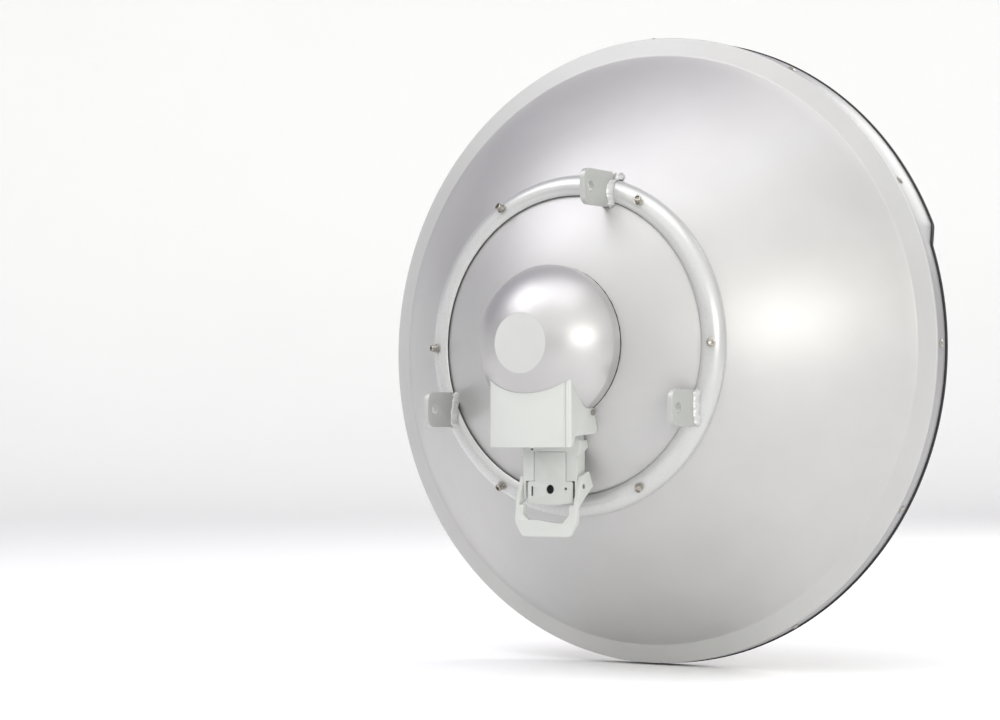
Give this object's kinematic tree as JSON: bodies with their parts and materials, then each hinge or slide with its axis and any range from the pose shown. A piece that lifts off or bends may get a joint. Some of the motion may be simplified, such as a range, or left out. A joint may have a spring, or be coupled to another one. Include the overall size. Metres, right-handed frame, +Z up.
{
  "type": "outdoor wireless bridge",
  "caption": "Parabolic dish radio with a hooded rim, flat radome, eared mounting ring, domed hub and a neck whose port bay has a sliding door and a bail handle.",
  "frame": {"origin": "on the dish axis, in the plane of the three ear holes that the dish hangs on", "axes": "+Y along the dish axis towards the hub, -Y towards the radome and the far station, +Z up, +X to the left as seen from behind"},
  "size_m": [0.654, 0.2885, 0.654],
  "materials": {
    "dish_paint": "satin pearl silver powder coat",
    "band_paint": "satin grey powder coat",
    "edge_rubber": "matte black rubber extrusion",
    "stainless": "plain stainless fasteners",
    "radome_plastic": "matte warm off-white sheet",
    "ring_paint": "glossy pale silver paint",
    "ear_paint": "satin pale grey paint",
    "hub_paint": "satin silver paint",
    "bare_aluminium": "machined aluminium",
    "circuit_board": "solder resist green",
    "shield_metal": "tinned steel shield",
    "feed_plastic": "moulded dielectric",
    "white_plastic": "fine-textured off-white moulding",
    "button_rubber": "soft black button"
  },
  "bodies": {
    "dish": {"reflector_dish": "dish_paint", "rim_band": "band_paint", "rim_edge_trim": "edge_rubber", "radome_gasket": "edge_rubber", "hub_gasket": "edge_rubber", "rim_rivet_01": "stainless", "rim_rivet_02": "stainless", "rim_rivet_03": "stainless", "rim_rivet_04": "stainless", "rim_rivet_05": "stainless", "rim_rivet_06": "stainless", "rim_rivet_07": "stainless", "rim_rivet_08": "stainless", "rim_rivet_09": "stainless", "rim_rivet_10": "stainless", "rim_rivet_11": "stainless", "rim_rivet_12": "stainless", "radome": "radome_plastic", "mounting_ring": "ring_paint", "ring_screw_1": "stainless", "ring_screw_2": "stainless", "ring_screw_3": "stainless", "ring_screw_4": "stainless", "ring_screw_5": "stainless", "ring_screw_6": "stainless", "ear_left": "ear_paint", "ear_right": "ear_paint", "ear_top": "ear_paint", "hub_housing": "hub_paint", "hub_plate": "bare_aluminium", "feed_tube": "bare_aluminium", "feed_transition": "bare_aluminium", "feed_collar": "bare_aluminium", "sub_reflector": "bare_aluminium", "board_post_1": "bare_aluminium", "board_post_2": "bare_aluminium", "board_post_3": "bare_aluminium", "hub_screw_1": "stainless", "hub_screw_2": "stainless", "hub_screw_3": "stainless", "hub_screw_4": "stainless", "radio_board": "circuit_board", "board_shield": "shield_metal", "ethernet_jack": "shield_metal", "feed_cone": "feed_plastic", "neck_housing": "white_plastic", "port_panel": "white_plastic", "port_bay": "white_plastic", "neck_screw_left": "stainless", "neck_screw_right": "stainless", "handle_pin_left": "stainless", "handle_pin_right": "stainless"},
    "door": {"cable_door": "white_plastic"},
    "handle": {"release_handle": "white_plastic"},
    "reset": {"reset_button": "button_rubber"}
  },
  "joints": [
    {"name": "handle_pivot", "type": "hinge", "parent": "dish", "child": "handle", "pos_m": [0, -0.004, -0.138], "axis": [1, 0, 0], "range_deg": [0, 100]},
    {"name": "door_slide", "type": "slide", "parent": "dish", "child": "door", "axis": [0, 0, -1], "range_m": [0, 0.011]},
    {"name": "reset_press", "type": "slide", "parent": "dish", "child": "reset", "axis": [0, 0, 1], "range_m": [0, 0.001], "stiffness_N_per_m": 600, "springref_m": -0.0008}
  ]
}
